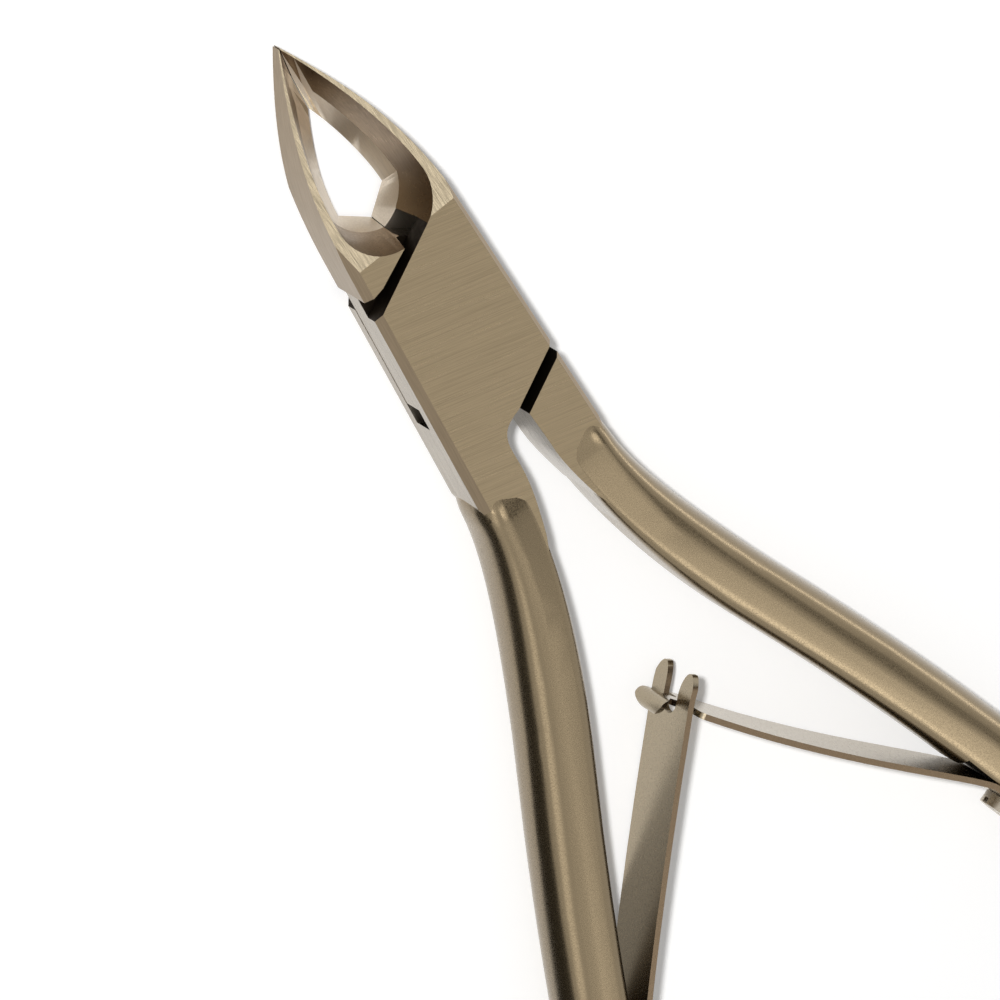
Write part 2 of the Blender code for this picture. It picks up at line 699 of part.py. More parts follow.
def build_inner_lever(cutters, parts, material):
    low = CHEEK + TONGUE_CLEARANCE
    slabs = [
        outline_mesh("inner tongue", tongue_outline(), low, THICKNESS - low),
        outline_mesh("inner jaw", inner_jaw_outline(), 0, THICKNESS),
        outline_mesh("inner root", inner_handle_outline(), 0, THICKNESS),
    ]
    lever = build_lever("inner_lever", slabs, False, cutters, parts, material)
    hole = rod_mesh("inner pin hole", PIN_RADIUS + PIN_CLEARANCE, FAR, Matrix.Translation((0, 0, -FAR / 2)))
    boolean(lever, hole, cutters, "DIFFERENCE")


def build_pin(parts, material):
    length = THICKNESS - PIN_SKIN - PIN_CLEARANCE
    pin = place("pivot_pin", rod_mesh("pivot_pin", PIN_RADIUS, length, Matrix()), parts)
    smooth(pin, material)


def build_left_spring(cutters, parts, material):
    """The leaf that ends in a fork."""
    low = MID_Z - LEAF_WIDTH / 2
    strip = mirrored(leaf_strip(prong_path(LEFT_LEAF_ANGLE)))
    leaf = place("left_spring", outline_mesh("left_spring", strip, low, low + LEAF_WIDTH), parts)
    fork = outline_mesh("fork", fork_outline(), -FAR, FAR)
    boolean(leaf, across_leaf(fork, LEFT_LEAF_ANGLE, True), cutters, "INTERSECT")
    boolean(leaf, screw_hole_mesh("left foot hole", True), cutters, "DIFFERENCE")
    smooth(leaf, material)


def build_right_spring(cutters, parts, material):
    """The leaf that ends in a curled tongue, which passes between the fork's prongs."""
    low = MID_Z - LEAF_WIDTH / 2
    strip = leaf_strip(hook_path(RIGHT_LEAF_ANGLE))
    leaf = place("right_spring", outline_mesh("right_spring", strip, low, low + LEAF_WIDTH), parts)
    hook = outline_mesh("hook", hook_outline(), -FAR, FAR)
    boolean(leaf, across_leaf(hook, RIGHT_LEAF_ANGLE, False), cutters, "INTERSECT")
    for upper in (True, False):
        label = "hook tip front" if upper else "hook tip back"
        boolean(leaf, hook_tip_mesh(label, RIGHT_LEAF_ANGLE, upper), cutters, "DIFFERENCE")
    boolean(leaf, screw_hole_mesh("right foot hole", False), cutters, "DIFFERENCE")
    smooth(leaf, material)


def build_screw(name, mirror, cutters, parts, material):
    """A slotted cheese-head screw: its shank sits in the handle and its head clamps the spring's foot."""
    under_head = 2 * SEAT_CLEARANCE + LEAF_THICKNESS
    length = SCREW_DEPTH + under_head + SCREW_HEAD_HEIGHT / 2
    screw = place(name, rod_mesh(name, SCREW_RADIUS, length, screw_matrix(mirror, -SCREW_DEPTH), 24), parts)
    head_at = screw_matrix(mirror, under_head)
    head = rod_mesh(name + " head", SCREW_HEAD_RADIUS, SCREW_HEAD_HEIGHT, head_at, 32)
    boolean(screw, head, cutters, "UNION")
    slot_at = screw_matrix(mirror, under_head + SCREW_HEAD_HEIGHT)
    slot = box_mesh(name + " slot", (FAR / 4, SCREW_SLOT_WIDTH, 2 * SCREW_SLOT_DEPTH), slot_at)
    boolean(screw, slot, cutters, "DIFFERENCE")
    smooth(screw, material)


def main():
    clear_scene()
    parts = collection("cuticle_nipper")
    cutters = collection("cutters")
    lever_steel = steel("satin bronze steel", (0.44, 0.38, 0.29), 0.38)
    spring_steel = steel("spring steel", (0.46, 0.41, 0.34), 0.3)
    build_outer_lever(cutters, parts, lever_steel)
    build_inner_lever(cutters, parts, lever_steel)
    build_pin(parts, lever_steel)
    build_left_spring(cutters, parts, spring_steel)
    build_right_spring(cutters, parts, spring_steel)
    build_screw("left_spring_screw", True, cutters, parts, spring_steel)
    build_screw("right_spring_screw", False, cutters, parts, spring_steel)


main()
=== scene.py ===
# Looks of the cuticle nipper: ground and satin champagne steel, on a white table in soft light.
import math

import bmesh
import bpy
import numpy as np
from mathutils import Matrix, Vector


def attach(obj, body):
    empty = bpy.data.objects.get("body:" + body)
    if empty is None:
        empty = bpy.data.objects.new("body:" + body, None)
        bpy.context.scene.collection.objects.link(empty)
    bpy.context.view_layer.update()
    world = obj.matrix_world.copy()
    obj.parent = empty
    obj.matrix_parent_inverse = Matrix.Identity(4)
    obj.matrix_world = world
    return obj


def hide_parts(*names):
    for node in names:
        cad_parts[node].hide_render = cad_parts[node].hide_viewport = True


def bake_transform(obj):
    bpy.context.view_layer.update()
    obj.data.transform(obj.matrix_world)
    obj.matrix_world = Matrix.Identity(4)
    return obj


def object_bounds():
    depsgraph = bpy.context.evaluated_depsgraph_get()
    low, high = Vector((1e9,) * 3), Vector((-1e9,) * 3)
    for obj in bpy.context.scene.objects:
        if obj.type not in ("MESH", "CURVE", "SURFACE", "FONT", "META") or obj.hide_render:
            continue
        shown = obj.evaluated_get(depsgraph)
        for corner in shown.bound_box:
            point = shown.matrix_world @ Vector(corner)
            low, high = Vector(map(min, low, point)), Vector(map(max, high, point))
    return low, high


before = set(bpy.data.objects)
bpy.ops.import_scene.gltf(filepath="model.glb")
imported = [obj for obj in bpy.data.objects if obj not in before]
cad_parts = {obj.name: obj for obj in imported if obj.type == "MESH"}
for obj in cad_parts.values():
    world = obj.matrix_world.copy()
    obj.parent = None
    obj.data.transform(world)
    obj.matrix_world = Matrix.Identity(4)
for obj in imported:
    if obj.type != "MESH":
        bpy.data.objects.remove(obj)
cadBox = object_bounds()
mm = 0.001
print("frame loaded:", sorted(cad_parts))


def fromHex(code):
    # sRGB hex to the linear colour that shaders take
    parts = np.array([int(code[i:i + 2], 16) for i in (1, 3, 5)]) / 255
    linear = np.where(parts <= 0.04045, parts / 12.92, ((parts + 0.055) / 1.055) ** 2.4)
    return (*linear.tolist(), 1.0)


def addNode(tree, kind, links=(), values=(), **settings):
    # one node with its settings, its fixed input values and the links that feed it
    node = tree.nodes.new(kind)
    for name, value in settings.items():
        setattr(node, name, value)
    for name, value in dict(values).items():
        node.inputs[name].default_value = value
    for name, source in dict(links).items():
        tree.links.new(source, node.inputs[name])
    return node


def newMaterial(name):
    material = bpy.data.materials.new(name)
    material.use_nodes = True
    material.node_tree.nodes.clear()
    return material, material.node_tree


# Steels. A mark is the size of one scratch or grain along x, y and z, in mm. The grains of blasting and
# tumbling are finer than the render can show, so they are drawn as coarse as they need to be seen.
steelLooks = dict(
    # belt ground: hair-fine scratches slant over the joint and draw a dull sheen out across them
    flat=dict(name="champagne steel, belt ground across", colour="#8B7C63", shade=0.72,
              mark=(5.0, 0.06, 1.0), turnDeg=-17.5, roughness=0.34, spread=0.08, relief=0.30),
    # ground along the jaws: short strong streaks, light and dark side by side
    rim=dict(name="champagne steel, ground along the jaws", colour="#988C76", shade=0.66,
             mark=(0.04, 1.4, 1.4), turnDeg=0.0, roughness=0.30, spread=0.08, relief=0.40),
    # milled out: smooth brown walls that mirror softly, with painted shade browner towards the right jaw's
    # heel and tip
    hollow=dict(name="champagne steel, hollow milled", colour="#8C7962", shade=0.80,
                mark=(0.12, 3.0, 0.12), turnDeg=0.0, roughness=0.32, spread=0.06, relief=0.15,
                corners=dict(colour="#5A4832", heel=(13.5, 10.5), tip=(17.5, 20.5), rightJaw=(0.0, 1.0))),
    # honed: the last cut, painted paler than the walls above it as a reflection of the white table
    bevel=dict(name="champagne steel, blade bevel, painted reflection", colour="#CBBFAE", shade=0.88,
               mark=(0.10, 3.0, 0.10), turnDeg=0.0, roughness=0.34, spread=0.05, relief=0.12),
    # polished: the glossiest of the flat faces, painted greyer as a reflection of the table it mirrors
    side=dict(name="champagne steel, side polished", colour="#958C7E", shade=0.88,
              mark=(2.0, 3.0, 0.08), turnDeg=0.0, roughness=0.26, spread=0.05, relief=0.15),
    # filed along: fine marks and a dull edge light
    chamfer=dict(name="champagne steel, chamfer filed", colour="#8C7C66", shade=0.85,
                 mark=(0.5, 3.0, 0.08), turnDeg=0.0, roughness=0.34, spread=0.05, relief=0.15),
    # fine blasted: an even grain that softens the bands along the handles
    handle=dict(name="champagne steel, fine blasted", colour="#86775F", shade=0.86,
                mark=(0.12, 0.12, 0.12), turnDeg=0.0, roughness=0.27, spread=0.06, relief=0.18),
    # almost black, painted shade so that gaps and the slot read as deep
    inside=dict(name="champagne steel, painted shade in the joint", colour="#2B241C", shade=0.7,
                mark=(0.4, 0.4, 0.4), turnDeg=0.0, roughness=0.60, spread=0.10, relief=0.2),
    # tumbled strip: nearly even, with a silky mirror of what is round it
    spring=dict(name="spring steel, tumbled", colour="#9B8F7A", shade=0.93,
                mark=(0.16, 0.16, 0.16), turnDeg=0.0, roughness=0.26, spread=0.04, relief=0.08),
    # sheared strip: the cut edge is painted browner, painted shade that draws a thin dark line along the leaf
    springEdge=dict(name="spring steel, sheared edge, painted shade", colour="#6E5E4B", shade=0.85,
                    mark=(0.16, 0.16, 0.16), turnDeg=0.0, roughness=0.30, spread=0.05, relief=0.10),
    # turned: a bright small head
    screw=dict(name="steel screw, turned", colour="#B4AA9A", shade=0.85,
               mark=(0.2, 0.2, 0.2), turnDeg=0.0, roughness=0.28, spread=0.06, relief=0.15))
markContrast = (0.3, 0.7)     # the part of the noise that runs from the deepest to the highest mark
markDetail = 3.0
markDepth = 0.01              # mm


def paintedShadeCorners(tree, place, tone, corners):
    # painted shade: a browner tone on the right jaw, rising smoothly towards the heel and towards the tip
    spot = addNode(tree, "ShaderNodeSeparateXYZ", {0: place.outputs["Object"]})
    heel, tip, rightJaw = [
        addNode(tree, "ShaderNodeMapRange", {"Value": spot.outputs[axis]},
                {"From Min": corners[end][0] * mm, "From Max": corners[end][1] * mm},
                interpolation_type="SMOOTHSTEP").outputs[0]
        for axis, end in (("Y", "heel"), ("Y", "tip"), ("X", "rightJaw"))]
    ends = addNode(tree, "ShaderNodeMath", {0: heel, 1: tip}, operation="ADD")
    paintedShadeShare = addNode(tree, "ShaderNodeMath", {0: ends.outputs[0], 1: rightJaw}, operation="MULTIPLY")
    mixed = addNode(tree, "ShaderNodeMix", {"Factor": paintedShadeShare.outputs[0]}, data_type="RGBA")
    tree.links.new(tone, mixed.inputs["A"])
    mixed.inputs["B"].default_value = fromHex(corners["colour"])
    return mixed.outputs["Result"]


def makeSteel(look):
    # long marks draw the gloss out across them, round ones give an even grain; both shade the tone a little
    material, tree = newMaterial(look["name"])
    place = addNode(tree, "ShaderNodeTexCoord")
    turned = addNode(tree, "ShaderNodeMapping", {"Vector": place.outputs["Object"]},
                     {"Rotation": (0, 0, math.radians(look["turnDeg"])),
                      "Scale": [size * mm for size in look["mark"]]},
                     vector_type="TEXTURE")
    marks = addNode(tree, "ShaderNodeTexNoise", {"Vector": turned.outputs[0]},
                    {"Scale": 1.0, "Detail": markDetail})
    depth = addNode(tree, "ShaderNodeMapRange", {"Value": marks.outputs["Fac"]},
                    {"From Min": markContrast[0], "From Max": markContrast[1]})
    bright = fromHex(look["colour"])
    colour = addNode(tree, "ShaderNodeMix", {"Factor": depth.outputs[0]}, data_type="RGBA")
    colour.inputs["A"].default_value = (*(look["shade"] * part for part in bright[:3]), 1)
    colour.inputs["B"].default_value = bright
    tone = colour.outputs["Result"]
    # painted shade in the hollow's corners, set by where the face lies
    if "corners" in look:
        tone = paintedShadeCorners(tree, place, tone, look["corners"])
    gloss = addNode(tree, "ShaderNodeMapRange", {"Value": depth.outputs[0]},
                    {"To Min": look["roughness"] + look["spread"],
                     "To Max": look["roughness"] - look["spread"]})
    bump = addNode(tree, "ShaderNodeBump", {"Height": marks.outputs["Fac"]},
                   {"Strength": look["relief"], "Distance": markDepth * mm})
    shader = addNode(tree, "ShaderNodeBsdfPrincipled",
                     {"Base Color": tone, "Roughness": gloss.outputs[0], "Normal": bump.outputs[0]},
                     {"Metallic": 1.0})
    addNode(tree, "ShaderNodeOutputMaterial", {"Surface": shader.outputs[0]})
    return material


steels = {zone: makeSteel(look) for zone, look in steelLooks.items()}
print("steels made:", len(steels))

# Pieces: copies of the solid parts, merged so that round stretches shade smooth and edges can be eased
merging = dict(distance=0.0005, flatDeg=0.4, sharpDeg=28)


def mergedCopy(node, name):
    # the part's mesh with doubled corners merged, flat triangles joined and steep edges sharp
    piece = bpy.data.objects.new(name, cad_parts[node].data.copy())
    bpy.context.scene.collection.objects.link(piece)
    made = bmesh.new()
    made.from_mesh(piece.data)
    bmesh.ops.remove_doubles(made, verts=made.verts, dist=merging["distance"] * mm)
    bmesh.ops.dissolve_limit(made, angle_limit=math.radians(merging["flatDeg"]),
                             verts=made.verts, edges=made.edges)
    made.to_mesh(piece.data)
    made.free()
    piece.data.materials.clear()
    piece.data.shade_smooth()
    piece.data.set_sharp_from_angle(angle=math.radians(merging["sharpDeg"]))
    return piece


def easeEdges(piece, width, segments, angleDeg):
    # rounds edges steeper than the angle. The width, in mm, is the most: short edges hold it back,
    # and the levers and springs stay all but sharp
    edge = piece.modifiers.new("easedEdge", "BEVEL")
    edge.width = width * mm
    edge.segments = segments
    edge.limit_method = "ANGLE"
    edge.angle_limit = math.radians(angleDeg)
    normals = piece.modifiers.new("flatFacesFlat", "WEIGHTED_NORMAL")
    normals.keep_sharp = True


def meshSpots(mesh):
    # every vertex of a mesh as one row of x, y and z, in mm
    spots = np.empty(len(mesh.vertices) * 3)
    mesh.vertices.foreach_get("co", spots)
    return spots.reshape(-1, 3) / mm


def setSpots(mesh, spots):
    mesh.vertices.foreach_set("co", (spots * mm).ravel())
    mesh.update()


# Levers: one piece of steel each, with a finish for every kind of face
levers = dict(
    outer_lever=dict(name="outerLever", body="box_side"),
    inner_lever=dict(name="innerLever", body="tongue_side"))
leverEdge = dict(width=0.07, segments=2, angleDeg=28)
zones = ["flat", "rim", "hollow", "bevel", "side", "chamfer", "handle", "inside"]
finishPlan = dict(                                     # mm, with the pivot at x = y = 0 and the back at z = 0
    thickness=4.8, slotFloor=1.5, slotHalf=2.0, nearFace=0.05, boreRadius=1.7,
    handleTop=-11.7, chamferLow=-12.5, chamferHigh=14.0, chamferInner=3.0,
    crotchMiddle=-14.0, crotchHalfLength=9.0, crotchHalfWidth=2.7,
    shoulder=5.5, hollowHeel=7.4, jawRoot=8.0, heelEnd=10.5, jointHalfLength=9.0, meeting=0.06,
    openingFrom=13.0, openingRise=0.10, rimFrom=8.1, rimDrop=0.197, bevelShare=0.33,
    floorSlack=0.02, gapTurnDeg=30.0, slotTurnDeg=37.7)
facingLimits = dict(                                   # shares of a face's unit normal
    level=0.9999, upright=0.03, chamferSlack=0.02, rim=0.97, scooped=0.95, towardsAxis=0.05,
    heel=0.3, gap=0.94, slotEnd=0.997, meeting=0.9)


def faceZones(mesh):
    # which finish each face has, from where its middle is (mm) and which way it faces
    plan, limit = finishPlan, facingLimits
    count = len(mesh.polygons)
    middle, facing = np.empty(count * 3), np.empty(count * 3)
    mesh.polygons.foreach_get("center", middle)
    mesh.polygons.foreach_get("normal", facing)
    x, y, z = (middle.reshape(-1, 3) / mm).T
    nx, ny, nz = facing.reshape(-1, 3).T
    level, upright = np.abs(nz) > limit["level"], np.abs(nz) < limit["upright"]
    fromMiddle = np.abs(z - plan["thickness"] / 2)
    zone = np.where(y < plan["handleTop"], zones.index("handle"), zones.index("side"))

    slanted = np.abs(np.abs(nz) - math.sqrt(0.5)) < limit["chamferSlack"]        # at 45 degrees
    slanted &= (y < plan["chamferHigh"]) & (np.abs(x) > plan["chamferInner"])
    outside = (y > plan["jawRoot"]) | ((y > plan["shoulder"]) & (x < 0))
    zone[(y > plan["chamferLow"]) & (slanted | outside)] = zones.index("chamfer")
    crotch = np.abs(y - plan["crotchMiddle"]) < plan["crotchHalfLength"]
    zone[upright & crotch & (np.abs(x) < plan["crotchHalfWidth"])] = zones.index("side")
    frontOrBack = fromMiddle > plan["thickness"] / 2 - plan["nearFace"]
    zone[level & frontOrBack] = zones.index("flat")
    zone[(y > plan["jawRoot"]) & (np.abs(nz) > limit["rim"]) & ~level] = zones.index("rim")

    towardsAxis = nx * np.sign(x) < -limit["towardsAxis"]
    towardsAxis |= (ny > limit["heel"]) & (y < plan["heelEnd"])
    scooped = (y > plan["hollowHeel"]) & (np.abs(nz) < limit["scooped"]) & towardsAxis
    zone[scooped] = zones.index("hollow")
    low = np.maximum(0, plan["openingRise"] * (y - plan["openingFrom"]))        # the hollow's lower edge
    high = plan["thickness"] - plan["rimDrop"] * (y - plan["rimFrom"])          # and its rim
    zone[scooped & (z - low < plan["bevelShare"] * (high - low))] = zones.index("bevel")

    onFloor = np.abs(z - plan["slotFloor"]) < plan["floorSlack"]
    # the slot floor lies in shade and takes the pale bevel steel: painted light
    zone[level & onFloor] = zones.index("bevel")                                # seen through the hollow
    slot = level & (fromMiddle < plan["slotHalf"]) & (~onFloor | (nz < 0))
    gapTurn, slotTurn = math.radians(plan["gapTurnDeg"]), math.radians(plan["slotTurnDeg"])
    inJoint = upright & (np.abs(y) < plan["jointHalfLength"])
    gap = inJoint & (np.abs(math.sin(gapTurn) * nx - math.cos(gapTurn) * ny) > limit["gap"])
    slotEnd = inJoint & (math.sin(slotTurn) * nx + math.cos(slotTurn) * ny < -limit["slotEnd"])
    meeting = upright & (np.abs(x) < plan["meeting"]) & (np.abs(nx) > limit["meeting"])  # blade on blade
    bore = upright & (np.hypot(x, y) < plan["boreRadius"])
    # these faces take the almost black steel: painted shade in the gaps, the slot and the bore
    zone[slot | gap | slotEnd | meeting | bore] = zones.index("inside")
    return zone.astype(np.int32)


def sharpenBetween(mesh, zone):
    # an edge between two finishes is crisp: its two faces are those of the edge's first and second loop
    loopEdge = np.empty(len(mesh.loops), dtype=np.int32)
    mesh.loops.foreach_get("edge_index", loopEdge)
    sides = np.empty(len(mesh.polygons), dtype=np.int32)
    mesh.polygons.foreach_get("loop_total", sides)
    order = np.argsort(loopEdge, kind="stable")
    pair = np.repeat(zone, sides)[order].reshape(-1, 2)
    sharp = mesh.attributes["sharp_edge"].data
    kept = np.empty(len(mesh.edges), dtype=bool)
    sharp.foreach_get("value", kept)
    sharp.foreach_set("value", kept | (pair[:, 0] != pair[:, 1]))


handlePlan = dict(                                     # right handle's middle line, two Bezier stretches, mm
    upper=((3.75, -13.9), (4.0, -18.59), (6.43, -26.01), (9.18, -32.3)),
    lower=((9.18, -32.3), (14.68, -44.99), (21.2, -62.02), (24.5, -80)),
    steps=40, rootHalfWidth=1.8, fullHalfWidth=2.26, swellLength=15.0)
handleCrown = dict(lean=0.13, middle=2.4, height=2.3, rise=0.36, fadeIn=(-15, -25), fadeOut=(-80, -75))


def bezier(points, steps):
    # the four points weighted by the cubic Bernstein polynomials
    t = np.linspace(0, 1, steps)[:, None]
    weights = ((1 - t)**3, 3 * t * (1 - t)**2, 3 * t**2 * (1 - t), t**3)
    return sum(weight * np.array(point) for weight, point in zip(weights, points))


def smooth(share):
    # from 0 to 1 with no slope at either end: three squares less two cubes
    return share * share * (3 - 2 * share)


def ramp(value, ends):
    # 0 at the first end, 1 at the second, straight between
    return np.clip((value - ends[0]) / (ends[1] - ends[0]), 0, 1)


def crownHandle(mesh):
    # rounds the handle's front: inside, its straight slope becomes a parabola of the same drop;
    # outside, the lean goes. Both fade out at the handle's two ends
    upper, lower = (bezier(handlePlan[stretch], handlePlan["steps"]) for stretch in ("upper", "lower"))
    path = np.concatenate([upper, lower[1:]])
    slope = np.gradient(path[:, 0], path[:, 1])
    spots = meshSpots(mesh)
    x, y, z = spots.T
    root = handlePlan["upper"][0][1]
    swell = smooth(ramp(y, (root, root - handlePlan["swellLength"])))
    widening = handlePlan["fullHalfWidth"] - handlePlan["rootHalfWidth"]
    halfWidth = handlePlan["rootHalfWidth"] + widening * swell
    turn = np.interp(-y, -path[:, 1], slope)
    across = (np.abs(x) - np.interp(-y, -path[:, 1], path[:, 0])) / np.sqrt(1 + turn**2) / halfWidth
    across = np.clip(across, -1, 1)                    # -1 at the inner edge, 1 at the outer edge
    above = np.maximum(0, z - handleCrown["middle"])
    inner = handleCrown["rise"] * (np.abs(across) - across**2) * np.clip(above / handleCrown["height"], 0, 1)
    outer = -above * handleCrown["lean"] * across / (1 + handleCrown["lean"] * across)
    amount = ramp(y, handleCrown["fadeIn"]) * ramp(y, handleCrown["fadeOut"])
    spots[:, 2] = z + amount * np.where(across < 0, inner, outer)
    setSpots(mesh, spots)


for node, lever in levers.items():
    piece = mergedCopy(node, lever["name"])
    for finish in zones:
        piece.data.materials.append(steels[finish])
    zone = faceZones(piece.data)
    piece.data.polygons.foreach_set("material_index", zone)
    sharpenBetween(piece.data, zone)
    crownHandle(piece.data)
    easeEdges(piece, **leverEdge)
    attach(piece, lever["body"])
    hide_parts(node)
print("levers finished")

# Springs: copies of the two leaves with their edges rounded, and the right one's curled end widened
springs = dict(
    left_spring=dict(name="leftSpring", own="box_side", other="tongue_side", foot=(-17.2, -57)),
    right_spring=dict(name="rightSpring", own="tongue_side", other="box_side", foot=(17.2, -57),
                      ear=dict(turnDeg=34, start=0.9, length=0.7, wider=0.55)))
springRound = dict(width=0.15, segments=4, angleDeg=40)
shearedFacing = 0.9                                    # a face turned up or down this far is a cut edge
springHook = dict(point=(0.0, -34.4), middle=2.4)      # where the leaves cross, and the middle of their width


def spreadEar(mesh, ear):
    # past the neck the curled end widens smoothly about the leaf's middle, by the share given
    spots = meshSpots(mesh)
    turn = math.radians(ear["turnDeg"])
    x, y = (spots[:, :2] - springHook["point"]).T
    ahead = math.cos(turn) * y - math.sin(turn) * x
    share = smooth(ramp(ahead, (ear["start"], ear["start"] + ear["length"])))
    spots[:, 2] = springHook["middle"] + (spots[:, 2] - springHook["middle"]) * (1 + ear["wider"] * share)
    setSpots(mesh, spots)


for node, spring in springs.items():
    piece = mergedCopy(node, spring["name"])
    piece.data.materials.append(steels["spring"])
    piece.data.materials.append(steels["springEdge"])
    facing = np.empty(len(piece.data.polygons) * 3)
    piece.data.polygons.foreach_get("normal", facing)
    sheared = np.abs(facing[2::3]) > shearedFacing     # the strip's two edges face up and down
    piece.data.polygons.foreach_set("material_index", sheared.astype(np.int32))
    if "ear" in spring:
        spreadEar(piece.data, spring["ear"])
    easeEdges(piece, **springRound)
    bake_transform(piece)
    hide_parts(node)
print("springs finished")

smallPieces = dict(
    # the pin takes the same almost black steel: painted shade
    pivot_pin=dict(name="pivotPin", body="box_side", steel="inside", slot="pin_steel"),
    left_spring_screw=dict(name="leftSpringScrew", body="box_side", steel="screw", slot="screw_steel"),
    right_spring_screw=dict(name="rightSpringScrew", body="tongue_side", steel="screw", slot="screw_steel"))
smallEdge = dict(width=0.06, segments=2, angleDeg=40)
for node, small in smallPieces.items():
    piece = mergedCopy(node, small["name"])
    piece.data.materials.append(steels[small["steel"]])
    easeEdges(piece, **smallEdge)
    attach(piece, small["body"])
    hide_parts(node)
print("pin and screws finished")

# White table and soft light. Two cards that only the steel sees give the dark bands along its round handles.
# The lift is light that the table adds where it is looked at: in the picture, and mirrored in the steel.
# Sizes and places are in metres here, apart from the sheet's, and power is in watts.
table = dict(size=3.0, colour="#F4F4F4", lift=0.15, mirroredLift=0.32, lowest=cadBox[0][2])
studio = dict(onTable=0.3, seen=1.0)
rightCard = dict(radius=1.0, steps=25, towardsDeg=-18, halfWidthDeg=31, lowDeg=42, highDeg=80,
                 board="grey card", colour="#8A8781")
leftSheet = dict(near=((-8.6, -12), (-30.0, -82)), reach=55, turnUp=8, above=0.05,                       # mm
                 board="dark card", colour="#4A4844")
# The key stands near the camera, so that shadows are slim; the soft boxes give the steel its highlights
lamps = dict(
    key=dict(place=(-0.272, 0.575, 0.80), aim=(0, -0.02, 0), size=(0.06, 0.06), power=9.6, lights="table"),
    window=dict(place=(-0.45, 0.25, 0.55), aim=(0, -0.02, 0), size=(0.35, 0.35), power=1.2, lights="steel"),
    overhead=dict(place=(0.24, -0.12, 0.93), aim=(0, -0.02, 0), size=(0.40, 0.40), power=1.3, lights="steel"),
    left=dict(place=(-0.6, -0.14, 0.5), aim=(-0.01, -0.04, 0), size=(0.25, 0.35), power=0.3, lights="steel"),
    front=dict(place=(-0.01, -0.72, 0.65), aim=(0, -0.04, 0), size=(0.55, 0.30), power=1.4, lights="steel"),
    right=dict(place=(0.75, -0.25, 0.1), aim=(0.01, -0.03, 0), size=(0.5, 0.12), power=0.55, lights="steel"))


def stageObject(name, points, faces, material):
    mesh = bpy.data.meshes.new(name)
    mesh.from_pydata(points, [], faces)
    mesh.materials.append(material)
    item = bpy.data.objects.new(name, mesh)
    bpy.context.scene.collection.objects.link(item)
    return item


def lookedAt(tree):
    # two switches: 1 for rays from the camera or through glass, and 1 for what steel mirrors
    path = addNode(tree, "ShaderNodeLightPath")
    direct = addNode(tree, "ShaderNodeMath",
                     {0: path.outputs["Is Camera Ray"], 1: path.outputs["Is Transmission Ray"]},
                     operation="MAXIMUM")
    return direct.outputs[0], path.outputs["Is Glossy Ray"]


def makeTable():
    half, low = table["size"] / 2, table["lowest"]
    material, tree = newMaterial("white table")
    lit = addNode(tree, "ShaderNodeBsdfDiffuse", values={"Color": fromHex(table["colour"])})
    direct, mirrored = lookedAt(tree)
    seen = addNode(tree, "ShaderNodeMath", {0: direct}, {1: table["lift"]}, operation="MULTIPLY")
    amount = addNode(tree, "ShaderNodeMath", {0: mirrored, 2: seen.outputs[0]}, {1: table["mirroredLift"]},
                     operation="MULTIPLY_ADD")
    lift = addNode(tree, "ShaderNodeEmission", {"Strength": amount.outputs[0]}, {"Color": (1, 1, 1, 1)})
    both = addNode(tree, "ShaderNodeAddShader", {0: lit.outputs[0], 1: lift.outputs[0]})
    addNode(tree, "ShaderNodeOutputMaterial", {"Surface": both.outputs[0]})
    corners = [(-half, -half, low), (half, -half, low), (half, half, low), (-half, half, low)]
    stageObject("table", corners, [(0, 1, 2, 3)], material)


def makeWorld():
    # white where it is looked at or mirrored, and dimmer as light on the table
    world = bpy.data.worlds.new("white studio")
    bpy.context.scene.world = world
    world.use_nodes = True
    tree = world.node_tree
    tree.nodes.clear()
    direct, mirrored = lookedAt(tree)
    seen = addNode(tree, "ShaderNodeMath", {0: direct, 1: mirrored}, operation="MAXIMUM")
    strength = addNode(tree, "ShaderNodeMapRange", {"Value": seen.outputs[0]},
                       {"To Min": studio["onTable"], "To Max": studio["seen"]})
    background = addNode(tree, "ShaderNodeBackground", {"Strength": strength.outputs[0]},
                         {"Color": (1, 1, 1, 1)})
    addNode(tree, "ShaderNodeOutputWorld", {"Surface": background.outputs[0]})


def makeCard(name, points, faces, card):
    # a board that only the steel sees
    material, tree = newMaterial(card["board"])
    shader = addNode(tree, "ShaderNodeBsdfDiffuse", values={"Color": fromHex(card["colour"])})
    addNode(tree, "ShaderNodeOutputMaterial", {"Surface": shader.outputs[0]})
    item = stageObject(name, points.tolist(), faces, material)
    item.visible_camera = item.visible_diffuse = item.visible_shadow = False


def makeRightCard():
    # part of an upright drum round the table: a turn along it, a height up it
    along = np.linspace(-1, 1, rightCard["steps"])
    turn = np.radians(rightCard["towardsDeg"] + along * rightCard["halfWidthDeg"])
    heights = rightCard["radius"] * np.tan(np.radians([rightCard["lowDeg"], rightCard["highDeg"]]))
    ring = np.column_stack([np.cos(turn), np.sin(turn)]) * rightCard["radius"]
    points = np.concatenate([np.column_stack([ring, np.full(len(turn), height)]) for height in heights])
    first = np.arange(len(turn) - 1)
    faces = np.column_stack([first, first + 1, first + 1 + len(turn), first + len(turn)])
    makeCard("rightCard", points, faces.tolist(), rightCard)


def makeLeftSheet():
    # a sheet on the table beside the left handle, with its far edge turned up
    low = table["lowest"] / mm + leftSheet["above"]
    near = np.array(leftSheet["near"])
    far = near - (leftSheet["reach"], 0)
    rows = [(near, low), (far, low), (far, low + leftSheet["turnUp"])]
    points = np.concatenate([np.column_stack([line, (height, height)]) for line, height in rows]) * mm
    makeCard("leftSheet", points, [(0, 1, 3, 2), (2, 3, 5, 4)], leftSheet)


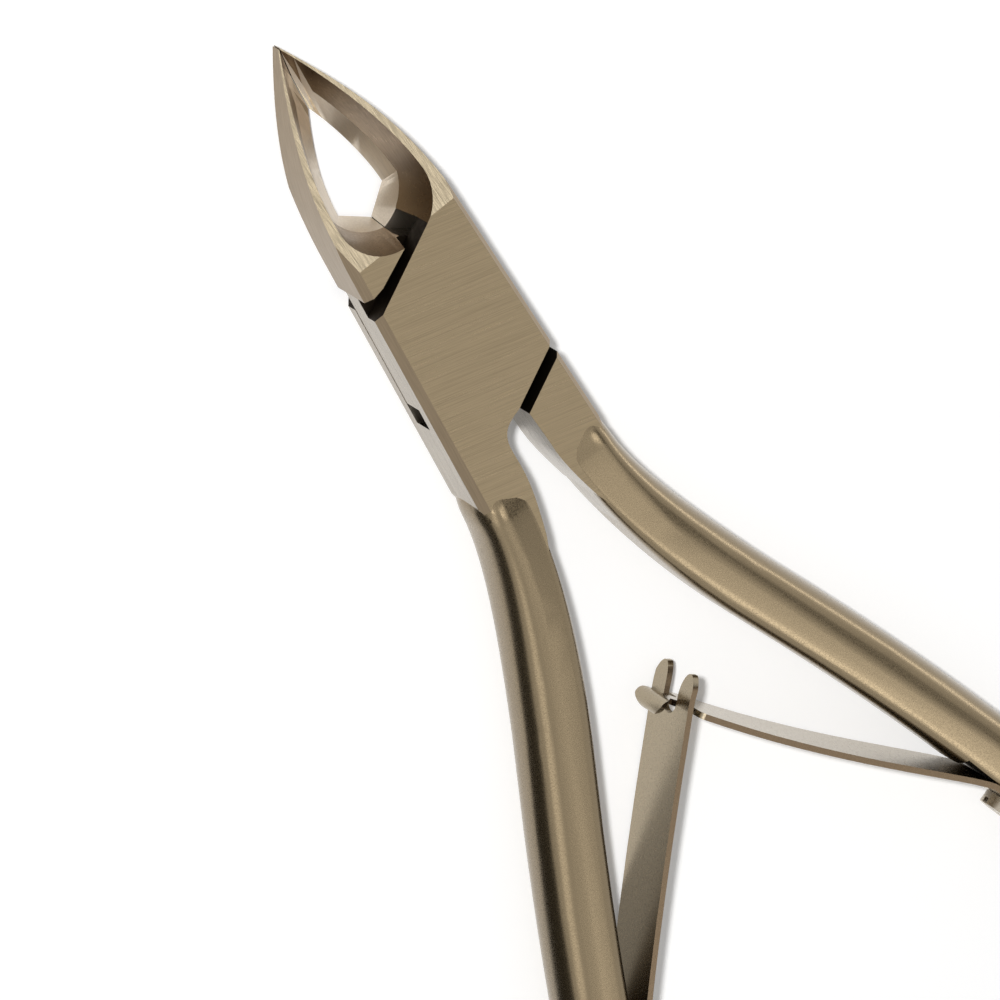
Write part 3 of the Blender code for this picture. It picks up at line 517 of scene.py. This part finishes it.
def addLamp(name, place, aim, size, power, lights):
    data = bpy.data.lights.new(name, "AREA")
    data.shape = "RECTANGLE"
    data.size, data.size_y = size
    data.energy = power
    lamp = bpy.data.objects.new(name, data)
    bpy.context.scene.collection.objects.link(lamp)
    lamp.location = place
    lamp.rotation_euler = (Vector(aim) - Vector(place)).to_track_quat("-Z", "Y").to_euler()
    lamp.visible_glossy = lights == "steel"
    lamp.visible_diffuse = lights == "table"


makeTable()
makeWorld()
makeRightCard()
makeLeftSheet()
for lampName, lamp in lamps.items():
    addLamp(lampName, **lamp)
print("table, cards and lamps set")

# Camera where the photograph was taken: it looks down on the front face from the jaws' left.
# The distance is in metres, and the pivot's height and the sensor are in mm.
photo = dict(tiltDeg=33.5, tiltTowardsDeg=30.67, toolTurnDeg=54.97, pixelsPerMm=15.3, distance=0.9,
             pivotPixel=(460.6, 328.8), imageSize=1000, pivotHeight=4.8, sensor=36.0)


def makeCamera():
    # the photograph's directions in the tool's axes: the image plane leans by the tilt, and the pivot keeps
    # its pixel because the camera turns, without a shift, from the pivot to the image's middle
    tilt, towards, turn = (math.radians(photo[name]) for name in ("tiltDeg", "tiltTowardsDeg", "toolTurnDeg"))
    toTip = -np.array([math.cos(turn), math.sin(turn)])      # in the image, y down, seen from straight above
    toRight = np.array([-toTip[1], toTip[0]])
    lean = np.array([math.cos(towards), math.sin(towards)])
    across = np.array([-lean[1], lean[0]])

    def inTool(flat, height):
        return np.array([flat @ toRight, flat @ toTip, height])

    back = inTool(-lean * math.sin(tilt), math.cos(tilt))
    leanAxis = inTool(lean * math.cos(tilt), math.sin(tilt))
    acrossAxis = inTool(across, 0)
    imageRight = lean[0] * leanAxis + across[0] * acrossAxis
    imageDown = lean[1] * leanAxis + across[1] * acrossAxis
    focal = photo["pixelsPerMm"] / mm * photo["distance"]    # in pixels
    place = np.array([0, 0, photo["pivotHeight"] * mm]) + photo["distance"] * back
    offset = photo["imageSize"] / 2 - np.array(photo["pivotPixel"])
    ray = (offset[0] * imageRight + offset[1] * imageDown) / focal - back
    axisBack = -ray / np.linalg.norm(ray)
    right = imageRight - axisBack * (imageRight @ axisBack)
    right = right / np.linalg.norm(right)
    up = np.cross(axisBack, right)
    data = bpy.data.cameras.new("photoCamera")
    data.sensor_width = photo["sensor"]
    data.lens = focal * photo["sensor"] / photo["imageSize"]
    camera = bpy.data.objects.new("photoCamera", data)
    bpy.context.scene.collection.objects.link(camera)
    columns = np.column_stack([right, up, axisBack, place])
    camera.matrix_world = Matrix([*columns.tolist(), (0, 0, 0, 1)])
    bpy.context.scene.camera = camera


makeCamera()
bpy.context.scene.view_settings.view_transform = "Standard"
print("camera set")
